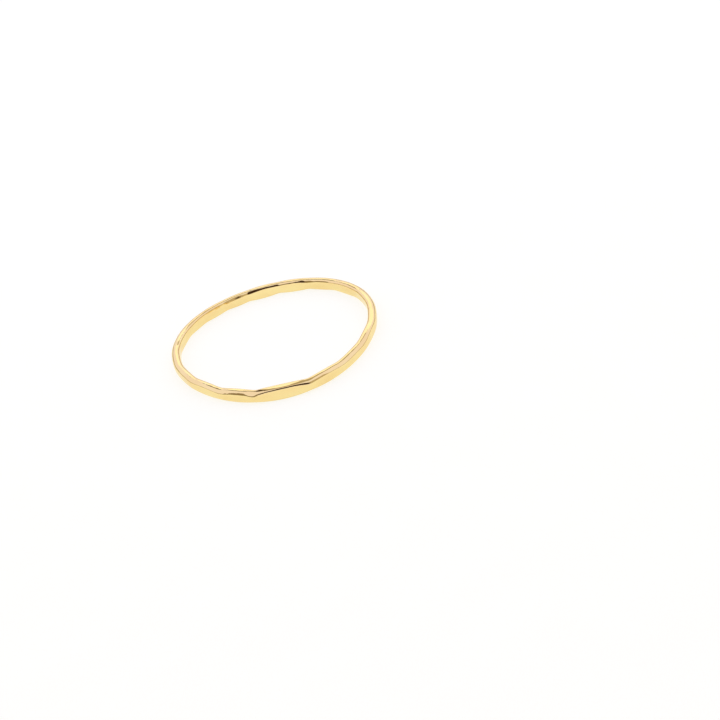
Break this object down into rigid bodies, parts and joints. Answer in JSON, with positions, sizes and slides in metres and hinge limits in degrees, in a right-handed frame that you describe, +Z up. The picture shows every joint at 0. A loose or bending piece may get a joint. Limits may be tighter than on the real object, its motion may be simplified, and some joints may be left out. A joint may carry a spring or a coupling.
{
  "type": "stackable ring",
  "caption": "Thin stackable finger ring: one hammered gold wire bent into a closed band, worn alone or stacked with others.",
  "frame": {"origin": "middle of the band, on the surface that it lies on", "axes": "+Z up, along the finger, with the band lying on its side; -Y is the side nearest the viewer and +X is to the viewer's right"},
  "size_m": [0.0192, 0.0188, 0.0012],
  "materials": {
    "hammered_gold": "polished, with hammered flats"
  },
  "bodies": {
    "root": {"band": "hammered_gold"}
  },
  "joints": []
}
